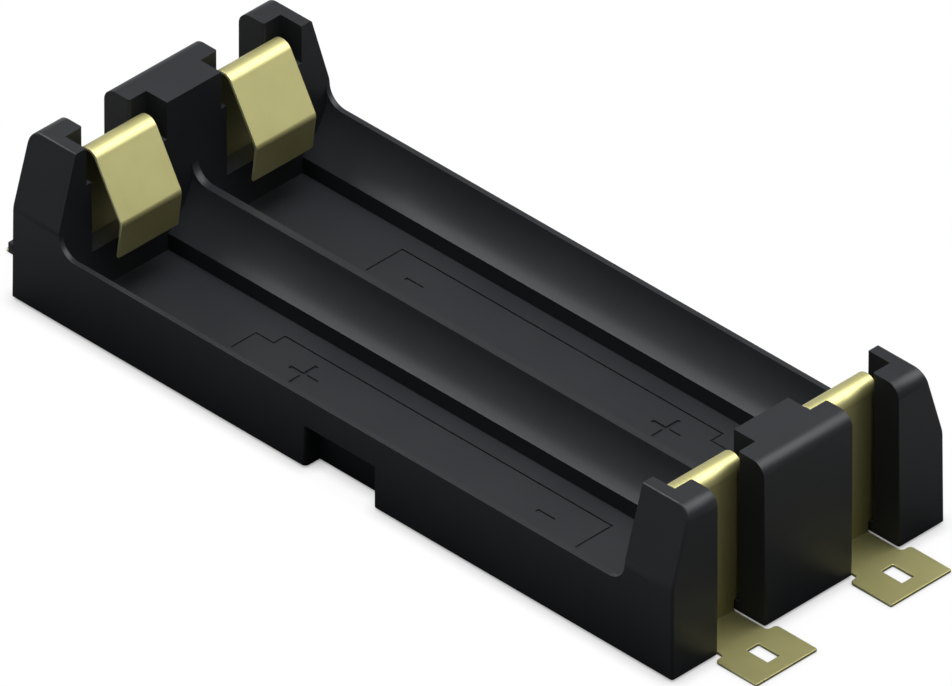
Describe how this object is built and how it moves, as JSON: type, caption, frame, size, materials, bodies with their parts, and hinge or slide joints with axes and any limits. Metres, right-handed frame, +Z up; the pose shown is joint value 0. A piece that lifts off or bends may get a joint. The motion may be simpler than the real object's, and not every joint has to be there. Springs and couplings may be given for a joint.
{
  "type": "surface mount battery holder",
  "caption": "Low moulded holder for round cells lying side by side, with a folded spring contact and a flat solder pad at both ends of each bay.",
  "frame": {"origin": "middle of the footprint on the board, at the underside of the solder pads", "axes": "+X along the cells, +Z up off the board, the near bay at -Y"},
  "size_m": [0.0614, 0.0222, 0.0114],
  "materials": {
    "housing_plastic": "satin moulded black plastic",
    "contact_metal": "pale gold plated spring strip"
  },
  "bodies": {
    "root": {"housing": "housing_plastic", "contact_near_left": "contact_metal", "contact_near_right": "contact_metal", "contact_far_left": "contact_metal", "contact_far_right": "contact_metal"}
  },
  "joints": []
}
